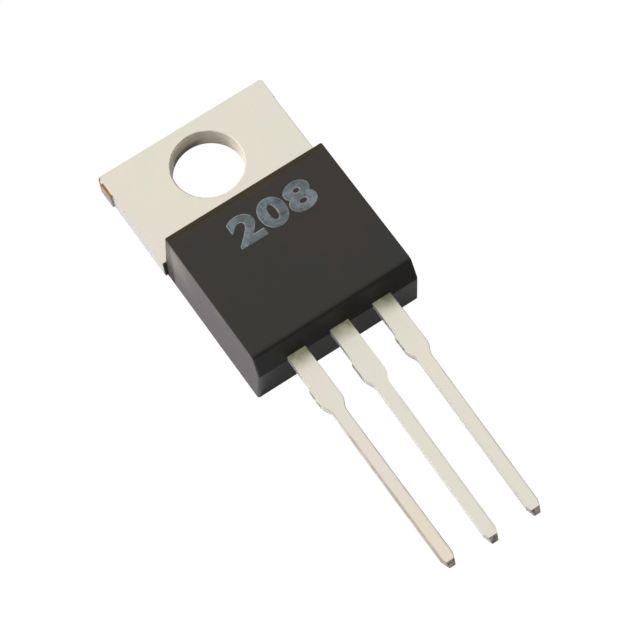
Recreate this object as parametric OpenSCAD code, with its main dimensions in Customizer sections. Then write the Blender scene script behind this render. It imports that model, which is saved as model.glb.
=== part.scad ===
// Power transistor: a moulded block with a drilled metal mounting tab and three leads in a row.
// The origin is on the axis of the mounting hole, in the plane of the back.
// X runs across the block, Y from the leads to the tab's end, and Z from the back to the front.
// All lengths are in millimetres and all angles in degrees.

/* [Mounting tab] */
// Width of the tab
tab_width = 10; // [9.9:0.05:10.6]
// Thickness of the tab and of the die pad that it runs into
tab_thickness = 1.27; // [1.15:0.01:1.4]
// Diameter of the mounting hole
hole_diameter = 3.84; // [3.5:0.02:4]
// Width of the rounded rim of the mounting hole, on the front
hole_rim = 0.12; // [0.04:0.01:0.2]
// Distance from the hole's axis to the end of the tab
hole_to_end = 2.65; // [2.5:0.05:3]
// Distance from the hole's axis to the near edge of the block's front face
hole_to_body = 3.9; // [3.6:0.05:4.5]
// Radius along the front edges of the tab, left by the punch
tab_edge_radius = 0.07; // [0.03:0.01:0.15]
// Bevel across the two end corners of the tab, seen from the front
tab_corner_bevel = 0.15; // [0.05:0.05:0.5]
// Length of the sheared ledge on each side of the tab, from its end
ledge_length = 1.3; // [0.8:0.05:2.2]
// How far the sheared ledge stands out from the left side of the tab
ledge_left = 0.11; // [0.03:0.01:0.15]
// How far the sheared ledge stands out from the right side of the tab
ledge_right = 0.04; // [0.03:0.01:0.15]

/* [Moulded body] */
// Length of the block's front face
front_length = 8.1; // [7.9:0.05:9.2]
// Moulding over the leads, up to the block's front face
front_cover = 1.3; // [1.2:0.01:1.5]
// How far each side of the block lies inside the tab's side, in the plane of the back
back_inset = 0.14; // [0.1:0.01:0.25]
// How far each side of the block leans in from the back to the front face
side_setback = 0.14; // [0.1:0.01:0.25]
// Draft of the block's face over the tab
tab_side_draft = 7; // [3:0.5:12]
// How far the parting edge stands out beyond the front face, over the leads
parting_reach = 0.43; // [0.3:0.01:0.6]
// How far the back face's edge stands out beyond the front face, under the leads
back_reach = 0.1; // [0.05:0.01:0.25]
// Radius of the edges along the front face's sides and over the tab
front_edge_radius = 0.1; // [0.05:0.01:0.2]
// Radius of the front face's edge over the leads
far_edge_radius = 0.36; // [0.2:0.02:0.5]
// Radius of the block's upright corners
corner_radius = 0.12; // [0.08:0.01:0.25]
// Thickness of the flash of moulding behind each shoulder of the tab
flash_thickness = 0.08; // [0.04:0.01:0.15]
// How far that flash stays inside the tab's side
flash_inset = 0.03; // [0.02:0.01:0.08]

/* [Die pad] */
// Moulding on each side of the die pad where it shows in the back
pad_side_margin = 0.86; // [0.6:0.02:1.1]
// How far the die pad reaches out over the moulding on each side
pad_step_width = 0.3; // [0.15:0.05:0.45]
// Height of the step along the sides of the die pad
pad_step_height = 0.5; // [0.3:0.05:0.7]
// Moulding left in the back between the die pad and the leads' end of the block
pad_end_margin = 2.35; // [2.1:0.05:2.5]
// Width of the locking groove across the pad
groove_width = 0.7; // [0.4:0.05:0.9]
// Depth of the locking groove
groove_depth = 0.3; // [0.15:0.05:0.4]
// Distance from the tab's foot to the middle of the locking groove
groove_distance = 0.9; // [0.7:0.05:1.1]

/* [Leads] */
// Distance between the axes of neighbouring leads
lead_pitch = 2.54; // [2.5:0.01:2.6]
// Thickness of the leads
lead_thickness = 0.46; // [0.4:0.01:0.55]
// Height of the leads' underside above the plane of the back
lead_seat = 2.66; // [2.45:0.01:2.8]
// Length of the leads beyond the block's parting edge
lead_length = 13.6; // [8:0.1:14.6]
// Width of the leads where they leave the block
root_width = 1.1; // [1:0.01:1.3]
// How far the middle of that width lies to the right of the lead's axis
root_offset = 0.05; // [0.02:0.01:0.1]
// Width of the slim stretch of the leads
lead_width = 0.7; // [0.6:0.01:0.85]
// Distance from the parting edge to the stub of the sheared tie bar
stub_start = 1.95; // [1.8:0.05:2.8]
// Length of the stub along the lead
stub_length = 1.05; // [0.8:0.05:1.8]
// How far the stub stands out on the left of each lead
stub_left = 0.1; // [0.04:0.01:0.2]
// Length of the rounded taper on each side, from the stub to the slim stretch
taper_length = 0.8; // [0.3:0.05:1.2]
// How much later the taper on the right begins
taper_delay = 0.2; // [0.05:0.05:0.5]
// Length of the taper at the tip
tip_length = 0.5; // [0.2:0.05:1]
// Width of the tip's end
tip_width = 0.36; // [0.25:0.01:0.5]
// How far the cut end leans back from the underside to the front
tip_lean = 0.2; // [0.05:0.01:0.4]
// Angle by which the centre lead's slim stretch is bent to the left
centre_lean_angle = 0.3; // [0.1:0.05:1.5]
// Angle by which the right lead's slim stretch is bent to the left
right_lean_angle = 0.6; // [0.1:0.05:1.5]
// Angle by which the slim stretches of the centre and right leads are bent back
lead_droop_angle = 2.4; // [0.5:0.1:4]

/* [Inside the block] */
// Width of the centre lead's neck, which rises from the die pad
neck_width = 1.6; // [1.3:0.05:2]
// Length of flat neck before its first bend and after its second
neck_flat = 0.1; // [0.05:0.05:0.2]
// Slope of the neck between its two bends
neck_slope = 60; // [50:1:70]
// Radius of the neck's bends, at the middle of its thickness
neck_bend_radius = 0.5; // [0.4:0.05:0.6]
// Width of the bond post at the inner end of each outer lead
post_width = 2; // [1.6:0.05:2.3]
// Length of each bond post
post_length = 1.7; // [1.2:0.1:1.9]
// Moulding between the bond posts and the parting edge
post_setback = 1.1; // [0.8:0.05:1.2]
// Length of the side of the square die
die_side = 3; // [2:0.1:3.6]
// Thickness of the die
die_thickness = 0.3; // [0.2:0.01:0.4]
// Thickness of the solder under the die
solder_thickness = 0.05; // [0.03:0.01:0.1]
// How far the solder stands out round the die
solder_margin = 0.12; // [0.05:0.01:0.2]
// Diameter of the base wire
base_wire_diameter = 0.18; // [0.1:0.01:0.25]
// Diameter of the emitter wire
emitter_wire_diameter = 0.38; // [0.25:0.01:0.45]
// Moulding over the top of the wires' loops
wire_cover = 0.45; // [0.35:0.01:0.55]

/* [Hidden] */

// Smoothness of curves
$fn = 48;
arc_steps = 6;
taper_steps = 8;
dome_facets = 24;
// A cutter runs this far past what it cuts
overcut = 1;
// A plate this thin stands in for a flat outline in a hull
sliver = 0.001;

// Height of the block and of the leads' front face above the plane of the back
lead_top = lead_seat + lead_thickness;
body_height = lead_top + front_cover;

// Widths
back_width = tab_width - 2 * back_inset;
front_width = back_width - 2 * side_setback;
pad_back_width = back_width - 2 * pad_side_margin;
pad_width = pad_back_width + 2 * pad_step_width;

// Planes across Y
tab_end_y = hole_to_end;
front_near_y = -hole_to_body;
tab_foot_y = front_near_y + (body_height - tab_thickness) * tan(tab_side_draft);
front_far_y = front_near_y - front_length;
parting_y = front_far_y - parting_reach;
back_far_y = front_far_y - back_reach;
pad_end_y = back_far_y + pad_end_margin;
groove_y = tab_foot_y - groove_distance;

// Distances from the parting edge along a lead: the stub's end, and where its slim stretch is bent
stub_end = stub_start + stub_length;
lead_bend = stub_end + taper_delay + taper_length;

// The neck is drawn along U = -Y, and these are its two bends' centres along U
neck_rise = lead_top - tab_thickness;
first_bend_u = -pad_end_y + neck_flat;
second_bend_u = first_bend_u + 2 * neck_bend_radius * sin(neck_slope)
    + (neck_rise - 2 * neck_bend_radius * (1 - cos(neck_slope))) / tan(neck_slope);

// Heights
parting_z = lead_seat + lead_thickness / 2;
die_seat_z = tab_thickness + solder_thickness;
die_top_z = die_seat_z + die_thickness;

// The die lies halfway between the groove and the pad's end
die_y = (groove_y - groove_width / 2 + pad_end_y) / 2;
post_far_y = parting_y + post_setback;
post_middle_y = post_far_y + post_length / 2;

// Bond places on the die, as shares of its half side
base_bond = [-0.62, -0.62] * die_side / 2;
emitter_bond = [0.45, 0] * die_side / 2;
// A wire's end is pressed to a flat foot of these shares of its diameter
foot_share = [2.6, 1.35, 0.6];

function along(centre, radius, angle) = centre + radius * [cos(angle), sin(angle)];
function arc(centre, radius, from, to) =
    [for (i = [0:arc_steps]) along(centre, radius, from + (to - from) * i / arc_steps)];
function reversed(list) = [for (i = [len(list) - 1:-1:0]) list[i]];

// Extrudes an outline drawn in Y and Z to a width centred on X
module across(width) {
    rotate([90, 0, 90])
        linear_extrude(width, center = true)
            children();
}

// Extrudes an outline drawn in X and Z from one Y to a higher one
module lengthwise(from, to) {
    translate([0, to, 0])
        rotate([90, 0, 0])
            linear_extrude(to - from)
                children();
}

// Plate with rounded front edges on its sides and its end, and bevelled end corners
module punched_plate(width, from, to) {
    half = width / 2;
    r = tab_edge_radius;
    rise = tab_thickness - r;
    bevel = tab_corner_bevel;
    intersection() {
        lengthwise(from, to + overcut)
            polygon(concat([[-half, 0], [half, 0]],
                arc([half - r, rise], r, 0, 90),
                arc([-half + r, rise], r, 90, 180)));
        across(width + overcut)
            polygon(concat([[from, 0], [to, 0]], arc([to - r, rise], r, 0, 90),
                [[from, tab_thickness]]));
        linear_extrude(tab_thickness)
            polygon([[-half, from], [half, from], [half, to - bevel], [half - bevel, to],
                [-half + bevel, to], [-half, to - bevel]]);
    }
}

// Hole right through the tab, with a rounded rim on the front
module mounting_hole() {
    r = hole_diameter / 2;
    translate([0, 0, -overcut])
        cylinder(h = tab_thickness + 2 * overcut, d = hole_diameter);
    rotate_extrude()
        polygon(concat([[r - hole_rim, tab_thickness - hole_rim]],
            arc([r + hole_rim, tab_thickness - hole_rim], hole_rim, 180, 90),
            [[r + hole_rim, tab_thickness + overcut], [r - hole_rim, tab_thickness + overcut]]));
}

module tab() {
    difference() {
        union() {
            punched_plate(tab_width, tab_foot_y, tab_end_y);
            translate([(ledge_right - ledge_left) / 2, 0, 0])
                punched_plate(tab_width + ledge_left + ledge_right, tab_end_y - ledge_length,
                    tab_end_y);
        }
        mounting_hole();
    }
}

// Stepped pad, wider at the front than at the back, so that the moulding holds it
module die_pad() {
    half = pad_width / 2;
    back_half = pad_back_width / 2;
    difference() {
        lengthwise(pad_end_y, tab_foot_y)
            polygon([[-back_half, 0], [back_half, 0], [back_half, pad_step_height],
                [half, pad_step_height], [half, tab_thickness], [-half, tab_thickness],
                [-half, pad_step_height], [-back_half, pad_step_height]]);
        across(pad_width + overcut)
            polygon([[groove_y, tab_thickness - groove_depth],
                [groove_y + groove_width, tab_thickness + groove_depth],
                [groove_y - groove_width, tab_thickness + groove_depth]]);
    }
}

// Neck that rises from the pad to the leads' plane in two bends
module neck() {
    half = lead_thickness / 2;
    r = neck_bend_radius;
    low = tab_thickness - half;
    high = lead_seat + half;
    first = [first_bend_u, low + r];
    second = [second_bend_u, high - r];
    start = first_bend_u - 2 * neck_flat;
    end = second_bend_u + neck_flat;
    underside = concat([[start, low - half]],
        arc(first, r + half, -90, -90 + neck_slope),
        arc(second, r - half, 90 + neck_slope, 90), [[end, high - half]]);
    front = concat([[start, low + half]],
        arc(first, r - half, -90, -90 + neck_slope),
        arc(second, r + half, 90 + neck_slope, 90), [[end, high + half]]);
    mirror([0, 1, 0])
        across(neck_width)
            polygon(concat(underside, reversed(front)));
}

// One side's taper from a wide place to the slim stretch, in a smooth S
function taper(side, wide, from) =
    [for (i = [0:taper_steps])
        let (share = (1 + cos(180 * i / taper_steps)) / 2)
        [side * (lead_width / 2 + (wide - lead_width / 2) * share),
            -from - taper_length * i / taper_steps]];

// Point on the bent stretch, this far to the side of the lead's axis and along it
function bent(x, u, angle) = [x - (u - lead_bend) * tan(angle), -u];

// One lead's outline seen from the front, drawn along -Y from the parting edge
module lead_outline(inner_length, lean) {
    left = root_width / 2 - root_offset;
    right = root_width / 2 + root_offset;
    slim = lead_width / 2;
    tip = tip_width / 2;
    tip_start = lead_length - tip_length;
    polygon(concat(
        [[-left, inner_length], [-left, -stub_start],
            [-left - stub_left, -stub_start - stub_left]],
        taper(-1, left + stub_left, stub_end),
        [[-slim, -lead_bend], bent(-slim, tip_start, lean), bent(-tip, lead_length, lean),
            bent(tip, lead_length, lean), bent(slim, tip_start, lean)],
        reversed(taper(1, right, stub_end + taper_delay)),
        [[right, inner_length]]
    ));
}

// One lead's outline seen from the side, in Y and Z, with the slant of the cut end
module lead_profile(inner_length, droop) {
    fall = (lead_length - lead_bend) * tan(droop);
    front_fall = (lead_length - tip_lean - lead_bend) * tan(droop);
    polygon([[inner_length, 0], [-lead_bend, 0], [-lead_length, -fall],
        [-lead_length + tip_lean, lead_thickness - front_fall],
        [-lead_bend, lead_thickness], [inner_length, lead_thickness]]);
}

// Lead in its place across the row, reaching a given length into the block
module lead(inner_length, lean, droop) {
    translate([0, parting_y, lead_seat])
        intersection() {
            linear_extrude(2 * lead_length, center = true)
                lead_outline(inner_length, lean);
            across(2 * lead_pitch)
                lead_profile(inner_length, droop);
        }
}

module bond_post() {
    translate([-post_width / 2, post_far_y, lead_seat])
        cube([post_width, post_length, lead_thickness]);
}

module frame_metal() {
    tab();
    die_pad();
    neck();
    lead(-parting_y - second_bend_u, centre_lean_angle, lead_droop_angle);
}

module outer_lead_metal(side, lean, droop) {
    translate([side * lead_pitch, 0, 0]) {
        lead(post_setback, lean, droop);
        bond_post();
    }
}

module base_lead_metal() {
    outer_lead_metal(-1, 0, 0);
}

module emitter_lead_metal() {
    outer_lead_metal(1, right_lean_angle, lead_droop_angle);
}

module die() {
    translate([-die_side / 2, die_y - die_side / 2, die_seat_z])
        cube([die_side, die_side, die_thickness]);
}

module solder() {
    side = die_side + 2 * solder_margin;
    translate([-side / 2, die_y - side / 2, tab_thickness])
        cube([side, side, solder_thickness]);
}

// Wire in one round loop from the die to a bond post, with a pressed foot at each end
module bond_wire(bond, side, diameter) {
    from = [bond.x, die_y + bond.y];
    to = [side * lead_pitch, post_middle_y];
    run = norm(to - from);
    top = body_height - wire_cover - diameter / 2;
    low = die_top_z + diameter / 2;
    high = lead_top + diameter / 2;
    fall_low = top - low;
    fall_high = top - high;
    step = fall_low - fall_high;
    peak = (fall_low * run - sqrt(fall_low * fall_high * (run * run + step * step))) / step;
    radius = (peak * peak + fall_low * fall_low) / (2 * fall_low);
    centre = [peak, top - radius];
    end_angle = atan2(high - centre.y, run - peak);
    start_angle = 180 - atan2(low - centre.y, peak);
    translate([from.x, from.y, 0])
        rotate([0, 0, atan2(to.y - from.y, to.x - from.x)]) {
            rotate([90, 0, 0])
                translate([centre.x, centre.y, 0])
                    rotate([0, 0, end_angle])
                        rotate_extrude(angle = start_angle - end_angle)
                            translate([radius, 0])
                                circle(d = diameter);
            for (place = [[0, die_top_z], [run, lead_top]])
                translate([place.x - foot_share.x * diameter / 2,
                    -foot_share.y * diameter / 2, place.y])
                    cube(foot_share * diameter);
        }
}

module base_wire_metal() {
    bond_wire(base_bond, -1, base_wire_diameter);
}

module emitter_wire_metal() {
    bond_wire(emitter_bond, 1, emitter_wire_diameter);
}

// Half the block's width at a height
function half_width(z) = (back_width + (front_width - back_width) * z / body_height) / 2;

// Y of the block's face over the tab at a height
function near_y(z) = front_near_y + (body_height - max(z, tab_thickness)) * tan(tab_side_draft);

// Y of the block's face under the leads at a height
function far_y(z) = back_far_y + (parting_y - back_far_y) * z / parting_z;

// How far the centre of an edge's rounding lies inside the edge of a face of this slope
function edge_inset(radius, slope) = radius * tan((90 - slope) / 2);

// Thin plate of the block's outline at a height, with rounded corners
module block_plate(z) {
    r = corner_radius;
    for (side = [-1, 1], y = [near_y(z) - r, far_y(z) + r])
        translate([side * (half_width(z) - r), y, z])
            cylinder(h = sliver, r = r);
}

// Domes that round the edges of the front face, in a row round the edge over the leads
module front_domes() {
    r = front_edge_radius;
    side_slope = atan2(side_setback, body_height);
    far_slope = atan2(parting_reach, body_height - parting_z);
    near = [front_near_y - edge_inset(r, tab_side_draft), body_height - r];
    far_centre = [front_far_y + edge_inset(far_edge_radius, far_slope),
        body_height - far_edge_radius];
    for (side = [-1, 1], place = concat([near],
        arc(far_centre, far_edge_radius - r, 90, 180 - far_slope)))
        translate([side * (half_width(place.y) - r / cos(side_slope)), place.x, place.y])
            rotate_extrude($fn = dome_facets)
                polygon(concat([[0, 0]], arc([0, 0], r, 0, 90)));
}

// The block's outer form: two hulls that meet in the parting plane
module block() {
    hull() {
        block_plate(parting_z);
        front_domes();
    }
    hull() {
        block_plate(parting_z);
        block_plate(tab_thickness);
        block_plate(0);
    }
}

// Thin moulding behind each shoulder of the tab, where the tab is wider than the block
module shoulder_flash() {
    inner = half_width(0) - 2 * corner_radius;
    for (side = [0, 1])
        mirror([side, 0, 0])
            translate([inner, tab_foot_y - flash_thickness, 0])
                cube([tab_width / 2 - flash_inset - inner, flash_thickness, tab_thickness]);
}

module body_material() {
    difference() {
        union() {
            block();
            shoulder_flash();
        }
        frame_metal();
        base_lead_metal();
        emitter_lead_metal();
        solder();
        die();
        base_wire_metal();
        emitter_wire_metal();
    }
}

// Tab, die pad and centre lead, cut and bent from one strip of two thicknesses
module collector_frame() {
    color([0.86, 0.83, 0.76])
        frame_metal();
}

module base_lead() {
    color([0.86, 0.83, 0.76])
        base_lead_metal();
}

module emitter_lead() {
    color([0.86, 0.83, 0.76])
        emitter_lead_metal();
}

module moulded_body() {
    color([0.22, 0.2, 0.19])
        body_material();
}

module silicon_die() {
    color([0.4, 0.42, 0.46])
        die();
}

module die_solder() {
    color([0.6, 0.6, 0.62])
        solder();
}

module base_wire() {
    color([0.82, 0.82, 0.84])
        base_wire_metal();
}

module emitter_wire() {
    color([0.82, 0.82, 0.84])
        emitter_wire_metal();
}

collector_frame();
base_lead();
emitter_lead();
moulded_body();
silicon_die();
die_solder();
base_wire();
emitter_wire();
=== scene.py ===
"""Power transistor: the finish of its plated metal, moulding and print, and the stage it lies on.

All places and sizes are in metres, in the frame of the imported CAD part: X runs across the block,
Y from the leads to the tab's end, and Z from the back to the front.
"""

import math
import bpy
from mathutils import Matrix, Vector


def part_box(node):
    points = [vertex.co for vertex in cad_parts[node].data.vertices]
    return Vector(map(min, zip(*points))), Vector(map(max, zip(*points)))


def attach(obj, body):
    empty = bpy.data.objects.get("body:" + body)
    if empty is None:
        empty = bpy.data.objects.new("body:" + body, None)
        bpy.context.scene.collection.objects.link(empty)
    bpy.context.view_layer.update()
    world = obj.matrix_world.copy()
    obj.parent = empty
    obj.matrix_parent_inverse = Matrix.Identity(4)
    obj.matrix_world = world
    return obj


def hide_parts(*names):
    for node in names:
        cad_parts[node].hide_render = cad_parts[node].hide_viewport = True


bl_info = {
    "name": "Power transistor finish",
    "version": (1, 0, 0),
    "blender": (4, 5, 0),
    "location": "3D View > Sidebar > Transistor",
    "description": "Finishes the plated metal, the moulding and the print of a power transistor",
    "category": "Object",
}

import bpy
from mathutils import Matrix, Vector

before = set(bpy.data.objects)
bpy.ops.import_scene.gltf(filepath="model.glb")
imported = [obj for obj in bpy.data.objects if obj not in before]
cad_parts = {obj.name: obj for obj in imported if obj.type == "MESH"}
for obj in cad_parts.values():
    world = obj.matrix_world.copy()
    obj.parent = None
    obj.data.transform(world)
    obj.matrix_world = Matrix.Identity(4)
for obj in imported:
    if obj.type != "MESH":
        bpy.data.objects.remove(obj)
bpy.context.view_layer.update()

MM = 0.001

# Places on the CAD part that the finish is laid out from
BLOCK_LOW, BLOCK_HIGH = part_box("moulded_body")
LEAD_TIP_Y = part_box("base_lead")[0].y
# Where the leads' taper ends and their slim stretch begins
TAPER_END_Y = LEAD_TIP_Y + 9.6 * MM
LEAD_PITCH = 2.54 * MM
# The front face's edge by the tab, its edge by the bevelled end, and its left edge
FRONT_TAB_Y = -3.9 * MM
FRONT_END_Y = -12.0 * MM
FRONT_LEFT_X = -4.72 * MM
# The tab's end, its left side without the sheared ledge, and the near end of that ledge
TAB_END_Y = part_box("collector_frame")[1].y
TAB_LEFT_X = -5.0 * MM
LEDGE_Y = 1.35 * MM
# Distance from the hole's axis that takes in its wall and its lip
HOLE_REACH = 2.1 * MM

# Each CAD node of metal, the piece that stands for it, its lead's place across the block and lean
# to the left in degrees, and how strong the darker bands are on the lead's right and left edges
METAL_PIECES = (
    ("collector_frame", "tab_and_centre_lead", 0.0, 0.3, 0.4, 0.0),
    ("base_lead", "left_lead", -LEAD_PITCH, 0.0, 0.6, 0.62),
    ("emitter_lead", "right_lead", LEAD_PITCH, 0.6, 0.3, 0.12),
)
FACE_MARKS = ("side", "wall", "lip", "edge_shade", "sheared", "bare")

# The digits' outlines are thickened by these shares of their height, the rim more than the fill,
# and the fill lies a little to the side of its rim
PRINTED_NUMBER = "208"
RIM_BOLDNESS = 0.048
FILL_BOLDNESS = 0.03
FILL_SHIFT = (0.02 * MM, -0.015 * MM, 0)
# How far the ink reaches into the block
INK_SINK = 0.0005 * MM


# Selection and mesh helpers

def select_only(piece):
    """Makes this object the only selected one, and the active one."""
    if bpy.context.object and bpy.context.object.mode != "OBJECT":
        bpy.ops.object.mode_set(mode="OBJECT")
    bpy.ops.object.select_all(action="DESELECT")
    piece.hide_set(False)
    piece.select_set(True)
    bpy.context.view_layer.objects.active = piece


def copy_of_node(node_name, name):
    """Copies a CAD node's mesh into a new object, and joins its loose triangles to clean faces."""
    piece = bpy.data.objects.new(name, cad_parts[node_name].data.copy())
    piece.data.materials.clear()
    bpy.context.scene.collection.objects.link(piece)
    select_only(piece)
    bpy.ops.object.mode_set(mode="EDIT")
    bpy.ops.mesh.select_all(action="SELECT")
    bpy.ops.mesh.remove_doubles(threshold=0.0003 * MM)
    bpy.ops.mesh.dissolve_limited(angle_limit=math.radians(0.3))
    bpy.ops.object.mode_set(mode="OBJECT")
    return piece


def round_edges(piece, width, segments, angle):
    """Rounds all edges sharper than an angle in degrees, and leaves flat faces flat."""
    select_only(piece)
    bevel = piece.modifiers.new("rounded edges", "BEVEL")
    bevel.width = width
    bevel.segments = segments
    bevel.limit_method = "ANGLE"
    bevel.angle_limit = math.radians(angle)
    bevel.use_clamp_overlap = True
    bpy.ops.object.modifier_apply(modifier=bevel.name)
    smooth_shading(piece, 50)


def smooth_shading(piece, angle):
    """Smooth shading up to an angle in degrees, weighted so that flat faces look flat."""
    select_only(piece)
    bpy.ops.object.shade_smooth_by_angle(angle=math.radians(angle))
    weighted = piece.modifiers.new("weighted normals", "WEIGHTED_NORMAL")
    weighted.keep_sharp = True
    bpy.ops.object.modifier_apply(modifier=weighted.name)


# Node helpers

def node(tree, kind, inputs=None, **settings):
    """Adds a node with these settings, and with a value or a link for each input named here."""
    made = tree.nodes.new(kind)
    for name, value in settings.items():
        setattr(made, name, value)
    for name, value in (inputs or {}).items():
        if isinstance(value, bpy.types.NodeSocket):
            tree.links.new(value, made.inputs[name])
        else:
            made.inputs[name].default_value = value
    return made


def mixed(tree, factor, first, second):
    """Mixes two colours, each of them a socket or plain red, green and blue."""
    first, second = [colour if isinstance(colour, bpy.types.NodeSocket) else (*colour, 1.0)
                     for colour in (first, second)]
    made = node(tree, "ShaderNodeMix", {0: factor, 6: first, 7: second}, data_type="RGBA")
    return made.outputs[2]


def layered(tree, colour, *layers):
    """Lays colours over a first one in turn, each where its mask is 1."""
    for mask, upper in layers:
        colour = mixed(tree, mask, colour, upper)
    return colour


def maths(tree, operation, first, second=0.5):
    """One Math node's result."""
    return node(tree, "ShaderNodeMath", {0: first, 1: second}, operation=operation).outputs[0]


def times(tree, result, *others):
    """The product of all these values."""
    for value in others:
        result = maths(tree, "MULTIPLY", result, value)
    return result


def plus(tree, result, *others):
    """The sum of all these values."""
    for value in others:
        result = maths(tree, "ADD", result, value)
    return result


def largest(tree, result, *others):
    """The largest of all these values."""
    for value in others:
        result = maths(tree, "MAXIMUM", result, value)
    return result


def ramp(tree, value, low, high, at_low=0.0, at_high=1.0, shape="SMOOTHSTEP"):
    """Goes smoothly from one result, where a value is low, to another, where it is high."""
    made = node(tree, "ShaderNodeMapRange",
                {"Value": value, "From Min": low, "From Max": high,
                 "To Min": at_low, "To Max": at_high},
                interpolation_type=shape)
    return made.outputs["Result"]


def line(tree, value, low, high, at_low, at_high):
    """Goes evenly from one result, where a value is low, to another, where it is high."""
    return ramp(tree, value, low, high, at_low, at_high, "LINEAR")


def by_mask(tree, mask, at_none, at_full):
    """One value where a mask is 0 and another where it is 1."""
    return ramp(tree, mask, 0.0, 1.0, at_none, at_full)


def between(tree, value, low, high, soft):
    """1 between two values and 0 outside, with soft ends."""
    return times(tree, ramp(tree, value, low - soft, low + soft),
                 ramp(tree, value, high - soft, high + soft, 1.0, 0.0))


def attribute(tree, name):
    """A value that the mesh stores on its faces."""
    return node(tree, "ShaderNodeAttribute", attribute_name=name).outputs["Fac"]


def shifted(tree, place, shift):
    """A place moved along, so that one pattern gives patches in other spots."""
    return node(tree, "ShaderNodeVectorMath", {0: place, 1: shift},
                operation="ADD").outputs["Vector"]


def bumps(tree, height, strength, distance):
    """A normal that follows fine changes of height."""
    return node(tree, "ShaderNodeBump",
                {"Height": height, "Strength": strength, "Distance": distance}).outputs["Normal"]


def new_group(name, inputs, outputs):
    """An empty shader node group with named sockets, and its two end nodes."""
    tree = bpy.data.node_groups.new(name, "ShaderNodeTree")
    for label, kind, default in inputs:
        socket = tree.interface.new_socket(name=label, in_out="INPUT", socket_type=kind)
        if default is not None:
            socket.default_value = default
    for label in outputs:
        tree.interface.new_socket(name=label, in_out="OUTPUT", socket_type="NodeSocketFloat")
    return tree, tree.nodes.new("NodeGroupInput"), tree.nodes.new("NodeGroupOutput")


def patches_group():
    """Soft irregular patches, as a mask from 0 to 1."""
    found = bpy.data.node_groups.get("soft patches")
    if found:
        return found
    tree, given, result = new_group(
        "soft patches",
        [("Vector", "NodeSocketVector", None), ("Patches per metre", "NodeSocketFloat", 400.0),
         ("Low", "NodeSocketFloat", 0.4), ("High", "NodeSocketFloat", 0.6),
         ("Detail", "NodeSocketFloat", 3.0)],
        ["Mask"])
    noise = node(tree, "ShaderNodeTexNoise",
                 {"Vector": given.outputs["Vector"], "Scale": given.outputs["Patches per metre"],
                  "Detail": given.outputs["Detail"], "Roughness": 0.55, "Distortion": 0.3})
    mask = ramp(tree, noise.outputs["Fac"], given.outputs["Low"], given.outputs["High"])
    tree.links.new(mask, result.inputs["Mask"])
    return tree


def patches(tree, place, per_metre, low=0.4, high=0.6, detail=3.0):
    """Places the group of soft patches in a material, and returns its mask."""
    made = node(tree, "ShaderNodeGroup",
                {"Vector": place, "Patches per metre": per_metre, "Low": low, "High": high,
                 "Detail": detail},
                node_tree=patches_group())
    return made.outputs["Mask"]


def grain_group():
    """Fine grain: a height for bump, and a mask for a small change of roughness."""
    found = bpy.data.node_groups.get("fine grain")
    if found:
        return found
    tree, given, result = new_group(
        "fine grain",
        [("Vector", "NodeSocketVector", None), ("Grains per metre", "NodeSocketFloat", 20000.0),
         ("Stretch", "NodeSocketVector", (1.0, 1.0, 1.0))],
        ["Height", "Mask"])
    stretched = node(tree, "ShaderNodeVectorMath",
                     {0: given.outputs["Vector"], 1: given.outputs["Stretch"]},
                     operation="MULTIPLY")
    noise = node(tree, "ShaderNodeTexNoise",
                 {"Vector": stretched.outputs["Vector"],
                  "Scale": given.outputs["Grains per metre"], "Detail": 4.0, "Roughness": 0.6})
    tree.links.new(noise.outputs["Fac"], result.inputs["Height"])
    tree.links.new(ramp(tree, noise.outputs["Fac"], 0.35, 0.65), result.inputs["Mask"])
    return tree


def grain(tree, place, per_metre, stretch=(1.0, 1.0, 1.0)):
    """Places the group of fine grain in a material, and returns its height and its mask."""
    made = node(tree, "ShaderNodeGroup",
                {"Vector": place, "Grains per metre": per_metre, "Stretch": stretch},
                node_tree=grain_group())
    return made.outputs["Height"], made.outputs["Mask"]


def new_material(name):
    """An empty material, its node tree and its output node."""
    material = bpy.data.materials.new(name)
    material.use_nodes = True
    tree = material.node_tree
    tree.nodes.clear()
    return material, tree, tree.nodes.new("ShaderNodeOutputMaterial")


def principled(tree, output, inputs):
    """Adds the shader of a material, and links it to the material's output."""
    shader = node(tree, "ShaderNodeBsdfPrincipled", inputs)
    tree.links.new(shader.outputs[0], output.inputs["Surface"])


def object_place(tree):
    """The Object coordinates, and their X, Y and Z."""
    place = node(tree, "ShaderNodeTexCoord").outputs["Object"]
    split = node(tree, "ShaderNodeSeparateXYZ", {"Vector": place})
    return place, split.outputs["X"], split.outputs["Y"], split.outputs["Z"]


# Materials

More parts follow.
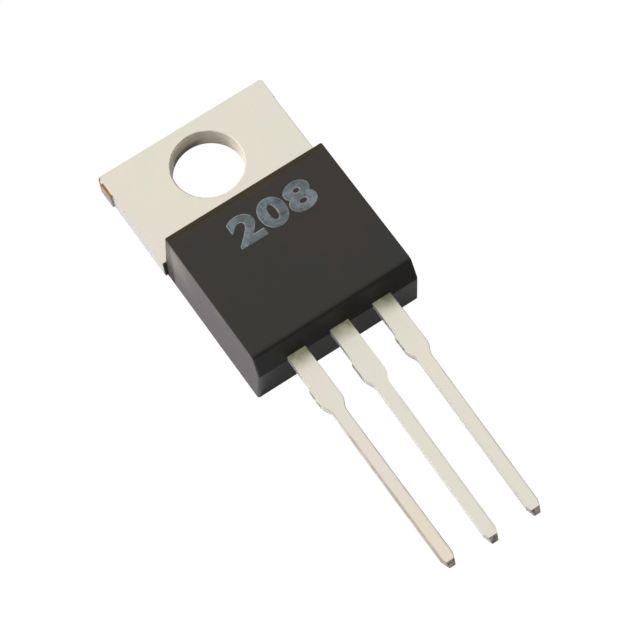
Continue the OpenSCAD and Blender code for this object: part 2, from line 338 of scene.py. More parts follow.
def plated_metal(settings):
    """Satin tin over copper: warm grey with faint tints, torn and bare where it was sheared."""
    material, tree, output = new_material("plated_copper")
    place, x, y, z = object_place(tree)
    side, wall, lip, edge_shade, sheared, bare = [attribute(tree, name) for name in FACE_MARKS]
    # 1 on the leads and 0 on the tab
    on_lead = ramp(tree, y, BLOCK_LOW.y + 0.5 * MM, BLOCK_LOW.y + 0.6 * MM, 1.0, 0.0)
    green = patches(tree, place, 260.0, 0.45, 0.62)
    pink = patches(tree, shifted(tree, place, (0.013, 0.027, 0.005)), 330.0, 0.46, 0.66)
    blotch = patches(tree, place, 900.0, 0.3, 0.7)
    streak = patches(tree, place, 1500.0, 0.3, 0.6)
    speck = patches(tree, place, 4500.0, 0.38, 0.56)
    # The left lead is yellower towards its tip, and the middle one greener
    left_far = times(tree, ramp(tree, x, -2.2 * MM, -1.6 * MM, 0.55, 0.0),
                     ramp(tree, y, -24.5 * MM, -19.5 * MM, 1.0, 0.0))
    middle = times(tree, between(tree, x, -1.1 * MM, 1.1 * MM, 0.1 * MM),
                   ramp(tree, y, -13.6 * MM, -13.0 * MM, 0.6, 0.0))
    # The leads are dull and olive where the moulding's flash was cleaned off, and darker there with
    # painted shade, for the dark block mirrored in them
    near_block = ramp(tree, y, BLOCK_LOW.y - 1.15 * MM, BLOCK_LOW.y - 0.1 * MM)
    stain_and_shade = times(tree, near_block, on_lead, by_mask(tree, blotch, 0.6, 1.0), 0.85)
    side_tone = mixed(tree, on_lead, settings.tab_side_colour, settings.side_colour)
    wall_tone, wall_lit_ends = wall_colour(tree, x, z, settings)
    # Darker bands along the leads' edges, in patches
    edge_bands = times(tree, lead_edges(tree, x, y), by_mask(tree, blotch, 0.55, 1.0))
    torn = times(tree, sheared, by_mask(tree, speck, 0.25, 1.0))
    # The cut end of the right lead is brown, and the middle one has a yellow corner
    tip = times(tree, sheared,
                ramp(tree, y, LEAD_TIP_Y + 0.12 * MM, LEAD_TIP_Y + 0.16 * MM, 1.0, 0.0))
    copper, ledge = copper_line(tree, place, x, y, z)
    ledge_tone = mixed(tree, speck, settings.ledge_colour, settings.ledge_pale)
    copper_tone = mixed(tree, by_mask(tree, streak, 0.0, 0.7), settings.copper_colour,
                        settings.copper_dark)
    colour = layered(
        tree, settings.tin_colour,
        (times(tree, green, 0.7), settings.green_tint),
        (times(tree, pink, 0.6), settings.pink_tint),
        (left_far, settings.yellow_tint),
        (middle, settings.green_tint),
        (stain_and_shade, settings.stain_and_shade_colour),
        (side, side_tone),
        (wall, wall_tone),
        (lip, settings.lip_colour),
        # Painted shade along the leads' upper right edges, for a dark reflection
        (times(tree, edge_shade, by_mask(tree, blotch, 0.3, 0.8)), settings.edge_shade_colour),
        (edge_bands, settings.edge_band_colour),
        (torn, settings.sheared_colour),
        (times(tree, tip, between(tree, x, 2.38 * MM, 3.0 * MM, 0.05 * MM)), settings.tip_brown),
        (times(tree, tip, between(tree, x, 0.04 * MM, 0.14 * MM, 0.03 * MM)), settings.tip_yellow),
        (times(tree, bare, by_mask(tree, streak, 0.25, 0.9)), settings.edge_copper),
        (ledge, ledge_tone),
        (copper, copper_tone))
    # The plating shows the strip's rolling marks, and torn metal stands up
    rolled_height, rolled_mask = grain(tree, place, 14000.0, (1.0, 0.12, 1.0))
    fine_height, _ = grain(tree, place, 26000.0)
    height = plus(tree, times(tree, rolled_height, 0.6), times(tree, fine_height, 0.4),
                  times(tree, torn, 2.0))
    rough = plus(tree, settings.roughness, times(tree, rolled_mask, 0.08),
                 times(tree, torn, 0.2), times(tree, side, 0.15))
    # Punched sides and torn metal are matt, and so are the hole's lip and its wall's ends with
    # painted light
    side_matt = by_mask(tree, on_lead, settings.side_mattness, settings.lead_mattness)
    matt = largest(tree, times(tree, side, side_matt), times(tree, torn, 0.8),
                   times(tree, wall, wall_lit_ends, 0.9), times(tree, lip, 0.7))
    principled(tree, output,
               {"Base Color": colour, "Metallic": maths(tree, "SUBTRACT", 1.0, matt),
                "Roughness": rough, "Normal": bumps(tree, height, 0.35, 0.004 * MM)})
    return material


def lead_edges(tree, x, y):
    """Mask of the darker bands along the leads' edges, strongest on the left lead."""
    # The middle of each lead moves to the left by its lean, from where the slim stretch begins
    reach = 10.0 * MM
    beyond = largest(tree, maths(tree, "SUBTRACT", TAPER_END_Y, y), 0.0)
    bands = []
    for _, _, lead_x, lean, right, left in METAL_PIECES:
        centre = line(tree, beyond, 0.0, reach, lead_x,
                      lead_x - reach * math.tan(math.radians(lean)))
        across = maths(tree, "SUBTRACT", x, centre)
        for direction, strength in ((1.0, right), (-1.0, left)):
            if strength:
                # The edge is 0.35 mm from the middle, and the band ends just past it
                outward = times(tree, across, direction)
                bands.append(times(tree, ramp(tree, outward, 0.22 * MM, 0.36 * MM),
                                   ramp(tree, outward, 0.4 * MM, 0.44 * MM, 1.0, 0.0), strength))
    return times(tree, largest(tree, *bands),
                 ramp(tree, y, TAPER_END_Y - 2.0 * MM, TAPER_END_Y, 1.0, 0.0))


def wall_colour(tree, x, z, settings):
    """Colour of the hole's wall, with painted shade low down on its left half, and a mask of its
    ends, which are painted light.
    """
    # Painted shade low down on the left half, where this is 0
    lit = largest(tree, ramp(tree, z, 0.1 * MM, 0.75 * MM), ramp(tree, x, -0.2 * MM, 1.1 * MM),
                  ramp(tree, x, -1.58 * MM, -1.4 * MM, 1.0, 0.0))
    # The right end has this share of the left one's painted light, and both have the plating's
    # colour
    right_share = 0.55
    lit_ends = largest(tree, ramp(tree, x, 0.3 * MM, 1.5 * MM, 0.0, right_share),
                   ramp(tree, x, -1.5 * MM, -1.1 * MM, 1.0, 0.0))
    colour = layered(tree, settings.wall_shade, (lit, settings.wall_colour),
                     (ramp(tree, lit_ends, 0.0, right_share), settings.tin_colour))
    return colour, lit_ends


def copper_line(tree, place, x, y, z):
    """Masks of the bare copper on the side of the left sheared ledge, and of the ledge below it."""
    on_ledge = ramp(tree, x, TAB_LEFT_X - 0.05 * MM, TAB_LEFT_X - 0.01 * MM, 1.0, 0.0)
    ragged = node(tree, "ShaderNodeTexNoise", {"Vector": place, "Scale": 5000.0, "Detail": 3.0})
    shake = line(tree, ragged.outputs["Fac"], 0.3, 0.7, -0.02 * MM, 0.02 * MM)
    ragged_y = plus(tree, y, shake)
    # Height of the line along the ledge: it runs just under the front edge, and sinks at the corner
    height = plus(tree,
                  line(tree, y, LEDGE_Y - 0.05 * MM, LEDGE_Y + 0.23 * MM, 1.06 * MM, 1.12 * MM),
                  line(tree, y, TAB_END_Y - 0.6 * MM, TAB_END_Y - 0.17 * MM, 0.0, -0.2 * MM))
    off = maths(tree, "SUBTRACT", plus(tree, z, shake), height)
    along = times(tree, ramp(tree, maths(tree, "ABSOLUTE", off), 0.18 * MM, 0.23 * MM, 1.0, 0.0),
                  ramp(tree, y, LEDGE_Y - 0.03 * MM, LEDGE_Y + 0.01 * MM))
    end_off = maths(tree, "ABSOLUTE", maths(tree, "SUBTRACT", ragged_y, LEDGE_Y + 0.04 * MM))
    end = times(tree, ramp(tree, end_off, 0.03 * MM, 0.05 * MM, 1.0, 0.0),
                between(tree, z, 0.5 * MM, 1.12 * MM, 0.03 * MM))
    # The bevelled corner of the tab's end is bare as well, also along its front edge. It is found
    # by Y less X, which is largest there
    slant = maths(tree, "SUBTRACT", ragged_y, x)
    most = TAB_END_Y - TAB_LEFT_X
    corner = times(tree, ramp(tree, slant, most - 0.2 * MM, most - 0.15 * MM),
                   ramp(tree, z, 0.6 * MM, 0.7 * MM),
                   ramp(tree, x, TAB_LEFT_X - 0.02 * MM, TAB_LEFT_X + 0.02 * MM, 1.0, 0.0))
    copper = times(tree, largest(tree, along, end), on_ledge)
    below = ramp(tree, off, -0.1 * MM, 0.1 * MM, 1.0, 0.0)
    return largest(tree, copper, corner), times(tree, below, on_ledge)


def epoxy_colour(tree, place, x, y, z, settings):
    """The moulding's black with its faint tints and painted light and shade, and a mask of its
    scuffs.
    """
    brown = patches(tree, place, 170.0, 0.42, 0.66, 2.0)
    slate = patches(tree, shifted(tree, place, (0.021, 0.009, 0.017)), 210.0, 0.46, 0.66, 2.0)
    scuff = patches(tree, place, 620.0, 0.6, 0.78, 6.0)
    # The front face's edge by the tab is olive
    by_tab = times(tree, ramp(tree, y, FRONT_TAB_Y - 0.6 * MM, FRONT_TAB_Y - 0.3 * MM),
                   by_mask(tree, brown, 0.5, 1.0))
    # Painted shade: the bevelled end is darkened towards its left
    end_shade = times(tree,
                     ramp(tree, y, FRONT_END_Y - 0.1 * MM, FRONT_END_Y - 0.04 * MM, 1.0, 0.0),
                     ramp(tree, x, FRONT_LEFT_X - 0.06 * MM, FRONT_LEFT_X + 0.02 * MM),
                     ramp(tree, x, -4.2 * MM, -1.9 * MM, 0.95, 0.0))
    # The left side has a painted reddish light tint, and a painted grey highlight next to the tab
    left = ramp(tree, x, FRONT_LEFT_X - 0.04 * MM, FRONT_LEFT_X + 0.04 * MM, 1.0, 0.0)
    # Painted highlight on the left side next to the tab
    highlighted = times(tree, ramp(tree, y, -6.9 * MM, -4.1 * MM), ramp(tree, z, 0.9 * MM, 3.2 * MM),
                   left)
    colour = layered(
        tree, settings.colour,
        (times(tree, brown, 0.8), settings.brown_tint),
        (times(tree, slate, 0.7), settings.slate_tint),
        (ramp(tree, y, -6.2 * MM, -4.2 * MM, 0.0, 0.9), settings.brown_tint),
        (times(tree, scuff, 0.25), settings.scuff_colour),
        (by_tab, settings.edge_tint),
        (end_shade, settings.end_shade_colour),
        (left, settings.left_light_tint),
        (highlighted, settings.highlight_colour))
    return colour, scuff


def black_moulding(settings):
    """Black filled epoxy with the fine satin grain of an eroded mould."""
    material, tree, output = new_material("moulding")
    place, x, y, z = object_place(tree)
    colour, scuff = epoxy_colour(tree, place, x, y, z, settings)
    height, mask = grain(tree, place, settings.grains_per_metre)
    # Scuffs are a little glossier, and the edge by the tab is duller
    rough = plus(tree, settings.roughness, times(tree, mask, 0.06), times(tree, scuff, -0.05),
                 ramp(tree, y, FRONT_TAB_Y - 0.55 * MM, FRONT_TAB_Y - 0.3 * MM, 0.0, 0.3))
    principled(tree, output,
               {"Base Color": colour, "Metallic": 0.0, "Roughness": rough, "IOR": 1.47,
                "Normal": bumps(tree, height, 0.3, settings.grain_depth)})
    return material


def worn_ink(settings, moulding):
    """Blue-grey marking with a pale rim, that the moulding shows through in specks and areas."""
    material, tree, output = new_material("ink")
    place, x, y, z = object_place(tree)
    under, _ = epoxy_colour(tree, place, x, y, z, moulding)
    speck = patches(tree, place, 6500.0, 0.3, 0.46, 5.0)
    thin = patches(tree, place, 1100.0, 0.32, 0.56, 4.0)
    tone = patches(tree, place, 1500.0, 0.42, 0.66, 4.0)
    cover = times(tree, by_mask(tree, speck, 0.45, 1.0),
                  by_mask(tree, thin, 1.0 - settings.wear, 1.0))
    rim = times(tree, attribute(tree, "rim"), by_mask(tree, tone, 0.9, 0.1))
    ink = layered(tree, settings.colour, (tone, settings.pale_colour), (rim, settings.rim_colour))
    principled(tree, output,
               {"Base Color": mixed(tree, cover, under, ink),
                "Roughness": by_mask(tree, cover, moulding.roughness, 0.55), "IOR": 1.5,
                "Normal": bumps(tree, cover, 0.4, 0.004 * MM)})
    return material


def grey_silicon():
    """Sawn and etched silicon, dark and glossy, with a faint change of tone."""
    material, tree, output = new_material("silicon")
    place = object_place(tree)[0]
    tone = patches(tree, place, 900.0)
    principled(tree, output,
               {"Base Color": mixed(tree, tone, (0.15, 0.16, 0.19), (0.2, 0.21, 0.25)),
                "Metallic": 0.4, "Roughness": by_mask(tree, tone, 0.16, 0.26)})
    return material


def soft_metal(name, first, second, roughness):
    """Dull soft metal with fine grain, for the solder and the drawn wires."""
    material, tree, output = new_material(name)
    place = object_place(tree)[0]
    tone = patches(tree, place, 2500.0)
    height, _ = grain(tree, place, 30000.0)
    principled(tree, output,
               {"Base Color": mixed(tree, tone, first, second), "Metallic": 1.0,
                "Roughness": by_mask(tree, tone, roughness, roughness + 0.12),
                "Normal": bumps(tree, height, 0.3, 0.003 * MM)})
    return material


# Settings that a user would change

class TransistorMetal(bpy.types.PropertyGroup):
    """Sizes and colours of the plated metal."""
    edge_radius: bpy.props.FloatProperty(
        name="Edge radius", description="Radius of the punched edges", default=0.03 * MM,
        min=0.005 * MM, max=0.06 * MM, precision=6, subtype="DISTANCE", unit="LENGTH")
    roughness: bpy.props.FloatProperty(
        name="Roughness", description="How dull the plating is", default=0.36, min=0.1, max=0.8,
        subtype="FACTOR")
    tin_colour: bpy.props.FloatVectorProperty(
        name="Plating", description="Colour of the plating", default=(0.85, 0.795, 0.68),
        size=3, min=0, max=1, subtype="COLOR")
    green_tint: bpy.props.FloatVectorProperty(
        name="Green tint", description="Colour of the greenish areas", default=(0.805, 0.8, 0.68),
        size=3, min=0, max=1, subtype="COLOR")
    pink_tint: bpy.props.FloatVectorProperty(
        name="Pink tint", description="Colour of the pinkish areas", default=(0.85, 0.78, 0.7),
        size=3, min=0, max=1, subtype="COLOR")
    yellow_tint: bpy.props.FloatVectorProperty(
        name="Yellow tint", description="Colour of the left lead towards its tip",
        default=(0.85, 0.765, 0.6), size=3, min=0, max=1, subtype="COLOR")
    # Olive flash stain and painted shade on the leads next to the block
    stain_and_shade_colour: bpy.props.FloatVectorProperty(
        name="Stain", description="Colour of the leads next to the block",
        default=(0.17, 0.19, 0.07), size=3, min=0, max=1, subtype="COLOR")
    side_colour: bpy.props.FloatVectorProperty(
        name="Sides", description="Colour of the leads' punched sides", default=(0.89, 0.86, 0.81),
        size=3, min=0, max=1, subtype="COLOR")
    tab_side_colour: bpy.props.FloatVectorProperty(
        name="Tab's sides", description="Colour of the tab's punched sides",
        default=(0.73, 0.71, 0.7), size=3, min=0, max=1, subtype="COLOR")
    wall_colour: bpy.props.FloatVectorProperty(
        name="Hole's wall", description="Colour of the hole's wall",
        default=(0.68, 0.62, 0.5), size=3, min=0, max=1, subtype="COLOR")
    # Painted shade on the hole's wall near the back
    wall_shade: bpy.props.FloatVectorProperty(
        name="Hole's wall low down", description="Colour of the hole's wall near the back",
        default=(0.2, 0.175, 0.13), size=3, min=0, max=1, subtype="COLOR")
    lip_colour: bpy.props.FloatVectorProperty(
        name="Hole's lip", description="Colour of the hole's rounded lip",
        default=(0.76, 0.7, 0.61), size=3, min=0, max=1, subtype="COLOR")
    side_mattness: bpy.props.FloatProperty(
        name="Mattness of the tab's sides", description="How matt the tab's punched sides are",
        default=0.2, min=0, max=1, subtype="FACTOR")
    lead_mattness: bpy.props.FloatProperty(
        name="Mattness of the leads' sides", description="How matt the leads' punched sides are",
        default=0.7, min=0, max=1, subtype="FACTOR")
    # Painted shade along the leads' upper right edges
    edge_shade_colour: bpy.props.FloatVectorProperty(
        name="Burr", description="Colour of the fine burr along the right edges",
        default=(0.13, 0.115, 0.105), size=3, min=0, max=1, subtype="COLOR")
    # Darker bands along the leads' edges
    edge_band_colour: bpy.props.FloatVectorProperty(
        name="Dull edges", description="Colour of the dull bands along the leads' edges",
        default=(0.3, 0.26, 0.18), size=3, min=0, max=1, subtype="COLOR")
    sheared_colour: bpy.props.FloatVectorProperty(
        name="Torn metal", description="Colour of torn metal at the cut tips and tie bars",
        default=(0.18, 0.13, 0.098), size=3, min=0, max=1, subtype="COLOR")
    tip_brown: bpy.props.FloatVectorProperty(
        name="Brown tip", description="Colour of the right lead's cut end",
        default=(0.85, 0.6, 0.49), size=3, min=0, max=1, subtype="COLOR")
    tip_yellow: bpy.props.FloatVectorProperty(
        name="Yellow tip", description="Colour of the corner of the middle lead's cut end",
        default=(0.6, 0.55, 0.05), size=3, min=0, max=1, subtype="COLOR")
    edge_copper: bpy.props.FloatVectorProperty(
        name="Thin plating", description="Colour of the left lead's edge, thinly plated",
        default=(0.5, 0.34, 0.22), size=3, min=0, max=1, subtype="COLOR")
    copper_colour: bpy.props.FloatVectorProperty(
        name="Bare copper", description="Colour of copper that the plating doesn't cover",
        default=(0.52, 0.2, 0.03), size=3, min=0, max=1, subtype="COLOR")
    copper_dark: bpy.props.FloatVectorProperty(
        name="Tarnished copper", description="Colour of the bare copper's dark streaks",
        default=(0.26, 0.13, 0.04), size=3, min=0, max=1, subtype="COLOR")
    ledge_colour: bpy.props.FloatVectorProperty(
        name="Sheared ledge", description="Colour of the sheared ledge's side",
        default=(0.3, 0.29, 0.27), size=3, min=0, max=1, subtype="COLOR")
    ledge_pale: bpy.props.FloatVectorProperty(
        name="Sheared ledge, pale", description="Colour of the ledge's paler spots",
        default=(0.46, 0.45, 0.43), size=3, min=0, max=1, subtype="COLOR")


class TransistorMoulding(bpy.types.PropertyGroup):
    """Colours and grain of the moulding."""
    roughness: bpy.props.FloatProperty(
        name="Roughness", description="How dull the moulding is", default=0.3, min=0.1, max=0.9,
        subtype="FACTOR")
    grains_per_metre: bpy.props.FloatProperty(
        name="Grains per metre", description="Fineness of the mould's grain", default=22000.0,
        min=5000.0, max=60000.0)
    grain_depth: bpy.props.FloatProperty(
        name="Grain depth", description="Depth of the mould's grain", default=0.006 * MM,
        min=0.0, max=0.05 * MM, precision=6, subtype="DISTANCE", unit="LENGTH")
    colour: bpy.props.FloatVectorProperty(
        name="Black", description="Colour of the moulding", default=(0.0105, 0.0092, 0.0062),
        size=3, min=0, max=1, subtype="COLOR")
    brown_tint: bpy.props.FloatVectorProperty(
        name="Brown tint", description="Colour of the moulding's brownish areas",
        default=(0.015, 0.0095, 0.006), size=3, min=0, max=1, subtype="COLOR")
    # Painted light tint of the block's left side
    left_light_tint: bpy.props.FloatVectorProperty(
        name="Left side", description="Colour of the block's left side",
        default=(0.02, 0.009, 0.0135), size=3, min=0, max=1, subtype="COLOR")
    # Painted shade on the bevelled end towards the left
    end_shade_colour: bpy.props.FloatVectorProperty(
        name="Dark end", description="Colour of the bevelled end towards the left",
        default=(0.0035, 0.0008, 0.0015), size=3, min=0, max=1, subtype="COLOR")
    # Painted highlight on the block's left side next to the tab
    highlight_colour: bpy.props.FloatVectorProperty(
        name="Rubbed side", description="Colour of the rubbed left side next to the tab",
        default=(0.125, 0.107, 0.085), size=3, min=0, max=1, subtype="COLOR")
    slate_tint: bpy.props.FloatVectorProperty(
        name="Slate tint", description="Colour of the moulding's greenish areas",
        default=(0.0075, 0.0098, 0.0085), size=3, min=0, max=1, subtype="COLOR")
    edge_tint: bpy.props.FloatVectorProperty(
        name="Edge by the tab", description="Colour of the front edge next to the tab",
        default=(0.029, 0.0195, 0.004), size=3, min=0, max=1, subtype="COLOR")
    scuff_colour: bpy.props.FloatVectorProperty(
        name="Scuffs", description="Colour of light scuffs", default=(0.016, 0.015, 0.014),
        size=3, min=0, max=1, subtype="COLOR")


class TransistorPrint(bpy.types.PropertyGroup):
    """Sizes and colours of the plain number on the front."""
    height: bpy.props.FloatProperty(
        name="Height", description="Height of the digits", default=1.72 * MM, min=0.5 * MM,
        max=3 * MM, precision=5, subtype="DISTANCE", unit="LENGTH")
    width: bpy.props.FloatProperty(
        name="Width", description="Width of each digit", default=1.5 * MM, min=0.4 * MM,
        max=2 * MM, precision=5, subtype="DISTANCE", unit="LENGTH")
    pitch: bpy.props.FloatProperty(
        name="Pitch", description="Distance from one digit to the next", default=1.62 * MM,
        min=0.5 * MM, max=2.6 * MM, precision=5, subtype="DISTANCE", unit="LENGTH")
    middle_x: bpy.props.FloatProperty(
        name="Middle across", description="Where the middle digit stands across the block",
        default=0.52 * MM, precision=5, subtype="DISTANCE", unit="LENGTH")
    middle_y: bpy.props.FloatProperty(
        name="Middle along", description="Where the digits' middle stands along the block",
        default=-5.82 * MM, precision=5, subtype="DISTANCE", unit="LENGTH")
    thickness: bpy.props.FloatProperty(
        name="Ink thickness", description="Thickness of the ink", default=0.005 * MM,
        min=0.001 * MM, max=0.02 * MM, precision=6, subtype="DISTANCE", unit="LENGTH")
    colour: bpy.props.FloatVectorProperty(
        name="Ink", description="Colour of the ink", default=(0.1, 0.118, 0.125),
        size=3, min=0, max=1, subtype="COLOR")
    pale_colour: bpy.props.FloatVectorProperty(
        name="Pale ink", description="Colour of the ink where it lies thick",
        default=(0.17, 0.205, 0.225), size=3, min=0, max=1, subtype="COLOR")
    rim_colour: bpy.props.FloatVectorProperty(
        name="Rim", description="Colour of the rim round each digit",
        default=(0.27, 0.28, 0.275), size=3, min=0, max=1, subtype="COLOR")
    wear: bpy.props.FloatProperty(
        name="Wear", description="How far the ink is rubbed off", default=0.5, min=0, max=1,
        subtype="FACTOR")


class TransistorStage(bpy.types.PropertyGroup):
    """Camera and light."""
    azimuth: bpy.props.FloatProperty(
        name="Azimuth", description="Camera's direction round the part",
        default=math.radians(-26.155), subtype="ANGLE", unit="ROTATION")
    elevation: bpy.props.FloatProperty(
        name="Elevation", description="Camera's height over the horizon",
        default=math.radians(64.161), subtype="ANGLE", unit="ROTATION")
    roll: bpy.props.FloatProperty(
        name="Roll", description="Camera's turn round its own axis",
        default=math.radians(-8.266), subtype="ANGLE", unit="ROTATION")
    distance: bpy.props.FloatProperty(
        name="Distance", description="From the camera to its target", default=160.28 * MM,
        subtype="DISTANCE", unit="LENGTH")
    target: bpy.props.FloatVectorProperty(
        name="Target", description="Point that the camera looks at",
        default=(-0.346 * MM, -11.131 * MM, 2.0 * MM), size=3, subtype="XYZ", unit="LENGTH")
    lens: bpy.props.FloatProperty(
        name="Lens", description="Focal length in millimetres for a sensor of 36 mm",
        default=180.08)
    key: bpy.props.FloatProperty(
        name="Key lamp", description="Brightness of the lamp on the left", default=34.0)
    overhead: bpy.props.FloatProperty(
        name="Overhead lamp", description="Brightness of the broad lamp above", default=0.6)
    ambient: bpy.props.FloatProperty(
        name="Ambient light", description="Brightness of the room", default=0.12)
    horizon: bpy.props.FloatProperty(
        name="Horizon", description="Brightness of the room's far walls in mirrors", default=0.36)


# Operators, one for each piece or group of like pieces

class TRANSISTOR_OT_metal(bpy.types.Operator):
    """Build the mounting tab and the three leads with rounded edges and torn, bare places"""
    bl_idname = "transistor.metal"
    bl_label = "Plated metal"

    def execute(self, context):
        settings = context.scene.transistor_metal
        material = plated_metal(settings)
        for node_name, piece_name, lead_x, *_ in METAL_PIECES:
            piece = copy_of_node(node_name, piece_name)
            round_edges(piece, settings.edge_radius, 2, 30)
            mark_faces(piece, node_name, lead_x)
            piece.data.materials.append(material)
            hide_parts(node_name)
            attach(piece, "root")
        return {"FINISHED"}


def mark_faces(piece, node_name, lead_x):
    """Stores on each face whether it is a side, the hole's wall or lip, an upper right edge of a
    lead for painted shade, torn or bare.
    """
    mesh = piece.data
    for name in FACE_MARKS:
        mesh.attributes.new(name, "FLOAT", "FACE")
    masks = {name: mesh.attributes[name].data for name in FACE_MARKS}
    # The stubs of the cut tie bars stand out on the left of each lead
    stub_from, stub_to = BLOCK_LOW.y - 3.1 * MM, BLOCK_LOW.y - 1.95 * MM
    stub_x = lead_x - 0.52 * MM
    # Where a face's middle lies and which way it faces say what it is
    for face in mesh.polygons:
        place, normal = face.center, face.normal
        in_hole = math.hypot(place.x, place.y) < HOLE_REACH
        upright = abs(normal.z) < 0.4
        cut_end = place.y < LEAD_TIP_Y + 0.35 * MM and normal.y < -0.85
        on_stub = stub_from < place.y < stub_to and normal.x < -0.5 and place.x < stub_x
        under_ledge = place.x < TAB_LEFT_X + 0.01 * MM and normal.y < -0.5
        beside_tip = (place.y < LEAD_TIP_Y + 0.8 * MM and -0.85 < normal.y < -0.2
                      and normal.x < 0)
        found = {
            "side": upright and not in_hole,
            "wall": upright and in_hole,
            "lip": in_hole and 0.4 <= normal.z < 0.97,
            # Upper right edges of the leads, for painted shade
            "edge_shade": place.y < BLOCK_LOW.y and normal.x > 0.25 and normal.z > 0.2,
            "sheared": max(0.75 * cut_end, 0.7 * on_stub, 0.7 * under_ledge, 0.5 * beside_tip),
            "bare": (node_name == "base_lead" and place.y < stub_from
                     and normal.x < -0.2 and normal.z > 0.2),
        }
        for name, value in found.items():
            masks[name][face.index].value = float(value)


class TRANSISTOR_OT_moulding(bpy.types.Operator):
    """Build the moulded block with smooth rounded edges"""
    bl_idname = "transistor.moulding"
    bl_label = "Moulded block"

    def execute(self, context):
        settings = context.scene.transistor_moulding
        piece = copy_of_node("moulded_body", "moulded_block")
        smooth_shading(piece, 32)
        piece.data.materials.append(black_moulding(settings))
        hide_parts("moulded_body")
        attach(piece, "root")
        return {"FINISHED"}


class TRANSISTOR_OT_inside(bpy.types.Operator):
    """Give the die, its solder and the two wires their materials"""
    bl_idname = "transistor.inside"
    bl_label = "Die, solder and wires"

    def execute(self, context):
        wire = soft_metal("bond_wire", (0.78, 0.78, 0.8), (0.7, 0.7, 0.72), 0.24)
        finishes = {
            "silicon_die": grey_silicon(),
            "die_solder": soft_metal("solder", (0.5, 0.5, 0.52), (0.42, 0.42, 0.43), 0.4),
            "base_wire": wire,
            "emitter_wire": wire,
        }
        for node_name, material in finishes.items():
            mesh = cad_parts[node_name].data
            mesh.materials.clear()
            mesh.materials.append(material)
        return {"FINISHED"}


class TRANSISTOR_OT_print(bpy.types.Operator):
    """Mark a plain number on the front of the block"""
    bl_idname = "transistor.print"
    bl_label = "Number"

    def execute(self, context):
        settings = context.scene.transistor_print
        material = worn_ink(settings, context.scene.transistor_moulding)
        for index, digit in enumerate(PRINTED_NUMBER):
            # The fill stands a little higher than its rim, so that it covers the rim's middle
            rim = marked_digit(digit, index, settings, RIM_BOLDNESS, settings.thickness)
            fill = marked_digit(digit, index, settings, FILL_BOLDNESS, settings.thickness * 1.5)
            fill.data.transform(Matrix.Translation(FILL_SHIFT))
            for layer, value in ((rim, 1.0), (fill, 0.0)):
                mask = layer.data.attributes.new("rim", "FLOAT", "FACE")
                for face in layer.data.polygons:
                    mask.data[face.index].value = value
            select_only(rim)
            fill.select_set(True)
            bpy.ops.object.join()
            rim.name = "printed_digit_" + str(index + 1)
            rim.data.materials.append(material)
            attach(rim, "root")
        return {"FINISHED"}


def marked_digit(digit, index, settings, boldness, thickness):
    """One bold digit as a thin layer of ink on the front face."""
    bpy.ops.object.select_all(action="DESELECT")
    bpy.ops.object.text_add(location=(0, 0, 0))
    text = bpy.context.object
    text.data.body = digit
    text.data.size = settings.height
    text.data.offset = boldness * settings.height
    text.data.extrude = thickness / 2
    text.data.resolution_u = 6
    bpy.ops.object.convert(target="MESH")
    piece = bpy.context.object
    low, high = mesh_box(piece)
    middle = (low + high) / 2
    grow = (boldness - FILL_BOLDNESS) * settings.height * 2
    centre = Vector((settings.middle_x + (index - 1) * settings.pitch, settings.middle_y,
                     BLOCK_HIGH.z + thickness / 2 - INK_SINK))
    scale = Matrix.Diagonal(((settings.width + grow) / (high.x - low.x),
                             (settings.height + grow) / (high.y - low.y), 1, 1))
    piece.data.transform(Matrix.Translation(centre) @ scale @ Matrix.Translation(-middle))
    select_only(piece)
    bpy.ops.object.mode_set(mode="EDIT")
    bpy.ops.mesh.select_all(action="SELECT")
    bpy.ops.mesh.remove_doubles(threshold=0.0005 * MM)
    bpy.ops.mesh.normals_make_consistent(inside=False)
    bpy.ops.object.mode_set(mode="OBJECT")
    return piece


def mesh_box(piece):
    """Lowest and highest corner of a mesh."""
    corners = [vertex.co for vertex in piece.data.vertices]
    return [Vector(pick(corner[axis] for corner in corners) for axis in range(3))
            for pick in (min, max)]


class TRANSISTOR_OT_stage(bpy.types.Operator):
    """Lay the floor and set the lamps, the world and the camera"""
    bl_idname = "transistor.stage"
    bl_label = "Stage"

    def execute(self, context):
        settings = context.scene.transistor_stage
        lay_floor(settings.horizon)
        light_world(settings)
        add_lamp("overhead", (28 * MM, 50 * MM, 137 * MM), 200 * MM, settings.overhead)
        add_lamp("key", (-102 * MM, 95 * MM, 80 * MM), 60 * MM, settings.key)
        place_camera(settings)
        context.scene.view_settings.view_transform = "Standard"
        return {"FINISHED"}


def background_share(tree):
    """The Light Path, and 1 for rays to the background, straight, in a mirror or through glass."""
    path = node(tree, "ShaderNodeLightPath")
    seen = largest(tree, path.outputs["Is Camera Ray"], path.outputs["Is Glossy Ray"],
                   path.outputs["Is Transmission Ray"])
    return path, seen


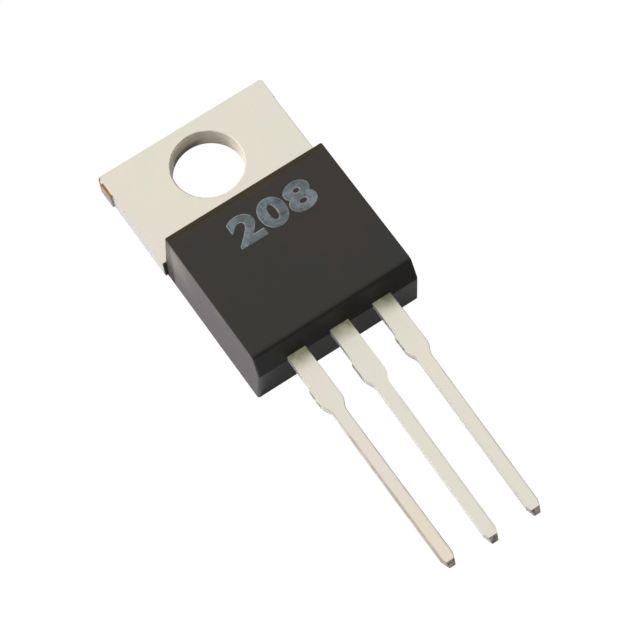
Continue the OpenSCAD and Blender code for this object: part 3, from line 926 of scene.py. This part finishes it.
def lay_floor(horizon):
    """A pale floor just under the part, which shows white but keeps a faint shadow."""
    bpy.ops.object.select_all(action="DESELECT")
    bpy.ops.mesh.primitive_plane_add(size=2.0, location=(0, 0, 0))
    floor = bpy.context.object
    floor.name = "floor"
    floor.data.transform(Matrix.Translation((0, 0, -0.02 * MM)))
    material, tree, output = new_material("floor")
    path, seen = background_share(tree)
    place, x, y, _ = object_place(tree)
    # In mirrors the floor under the leads is darker, a painted shadow, so that the bevelled end of
    # the block is dark
    in_front = times(tree, ramp(tree, y, -14.8 * MM, -13.0 * MM, 1.0, 0.0),
                     ramp(tree, x, -7.5 * MM, -4.5 * MM), path.outputs["Is Glossy Ray"])
    matt = node(tree, "ShaderNodeBsdfDiffuse",
                {"Color": mixed(tree, in_front, (0.8, 0.8, 0.8), (0.46, 0.46, 0.46))})
    glow = node(tree, "ShaderNodeEmission", {"Color": (1, 1, 1, 1), "Strength": 1.02})
    # Far away it is as light as the horizon, and to the camera it is nearly white everywhere
    away = node(tree, "ShaderNodeVectorMath", {0: place}, operation="LENGTH").outputs["Value"]
    glow_share = largest(tree, by_mask(tree, in_front, 0.12, 0.06),
                         ramp(tree, away, 40 * MM, 130 * MM, 0.0, horizon),
                         times(tree, path.outputs["Is Camera Ray"], 0.975))
    both = node(tree, "ShaderNodeMixShader", {0: times(tree, seen, glow_share)})
    tree.links.new(matt.outputs[0], both.inputs[1])
    tree.links.new(glow.outputs[0], both.inputs[2])
    tree.links.new(both.outputs[0], output.inputs["Surface"])
    floor.data.materials.append(material)


def light_world(settings):
    """White to the eye, bright above, left and beyond the tab in mirrors, and a low plain light."""
    world = bpy.data.worlds.new("studio")
    bpy.context.scene.world = world
    world.use_nodes = True
    tree = world.node_tree
    tree.nodes.clear()
    path, seen = background_share(tree)
    towards = node(tree, "ShaderNodeTexCoord").outputs["Generated"]
    split = node(tree, "ShaderNodeSeparateXYZ", {"Vector": towards})
    # The bright part of the room leans to the left and beyond the tab
    lean = plus(tree, times(tree, split.outputs["X"], -0.5), times(tree, split.outputs["Y"], 0.7))
    bright = ramp(tree, plus(tree, split.outputs["Z"], lean), -0.05, 0.35, settings.horizon, 0.95)
    mirrored = largest(tree, bright, path.outputs["Is Camera Ray"])
    strength = plus(tree, times(tree, seen, mirrored), by_mask(tree, seen, settings.ambient, 0.0))
    shade = node(tree, "ShaderNodeBackground", {"Color": (1, 1, 1, 1), "Strength": strength})
    end = tree.nodes.new("ShaderNodeOutputWorld")
    tree.links.new(shade.outputs[0], end.inputs["Surface"])


def add_lamp(name, place, size, brightness):
    """A square soft lamp that faces the part, as bright as this and unseen in mirrors."""
    lamp = bpy.data.lights.new(name, "AREA")
    lamp.shape = "SQUARE"
    lamp.size = size
    lamp.energy = brightness * math.pi * size * size
    holder = bpy.data.objects.new(name, lamp)
    bpy.context.scene.collection.objects.link(holder)
    target = Vector((0, -9 * MM, 2 * MM))
    holder.location = place
    holder.rotation_euler = (target - Vector(place)).to_track_quat("-Z", "Y").to_euler()
    holder.visible_glossy = False


def place_camera(settings):
    """The camera at the photograph's viewing angle."""
    a, e, r = settings.azimuth, settings.elevation, settings.roll
    back = Vector((math.sin(a) * math.cos(e), -math.cos(a) * math.cos(e), math.sin(e)))
    level = Vector((math.cos(a), math.sin(a), 0))
    right = math.cos(r) * level + math.sin(r) * back.cross(level)
    up = back.cross(right)
    place = Vector(settings.target) + back * settings.distance
    data = bpy.data.cameras.new("camera")
    data.lens = settings.lens
    data.sensor_width = 36.0
    data.clip_start = 0.01
    camera = bpy.data.objects.new("camera", data)
    bpy.context.scene.collection.objects.link(camera)
    turn = Matrix((right, up, back)).transposed().to_4x4()
    camera.matrix_world = Matrix.Translation(place) @ turn
    bpy.context.scene.camera = camera


class TRANSISTOR_PT_finish(bpy.types.Panel):
    """Lists the steps and their settings"""
    bl_label = "Power transistor"
    bl_idname = "TRANSISTOR_PT_finish"
    bl_space_type = "VIEW_3D"
    bl_region_type = "UI"
    bl_category = "Transistor"

    def draw(self, context):
        for step, _, settings in STEPS:
            box = self.layout.box()
            box.operator(step.bl_idname)
            if settings:
                group = getattr(context.scene, settings)
                for name in group.__annotations__:
                    box.prop(group, name)


# Each step's operator, its settings, and the name under which the scene keeps them
STEPS = (
    (TRANSISTOR_OT_metal, TransistorMetal, "transistor_metal"),
    (TRANSISTOR_OT_moulding, TransistorMoulding, "transistor_moulding"),
    (TRANSISTOR_OT_inside, None, None),
    (TRANSISTOR_OT_print, TransistorPrint, "transistor_print"),
    (TRANSISTOR_OT_stage, TransistorStage, "transistor_stage"),
)


def register():
    for step, group, name in STEPS:
        if group:
            bpy.utils.register_class(group)
            setattr(bpy.types.Scene, name, bpy.props.PointerProperty(type=group))
        bpy.utils.register_class(step)
    bpy.utils.register_class(TRANSISTOR_PT_finish)


def unregister():
    bpy.utils.unregister_class(TRANSISTOR_PT_finish)
    for step, group, name in reversed(STEPS):
        bpy.utils.unregister_class(step)
        if group:
            delattr(bpy.types.Scene, name)
            bpy.utils.unregister_class(group)


def main():
    """Builds the finished part and its stage."""
    register()
    bpy.ops.transistor.metal()
    bpy.ops.transistor.moulding()
    bpy.ops.transistor.inside()
    bpy.ops.transistor.print()
    bpy.ops.transistor.stage()


if __name__ == "__main__":
    main()
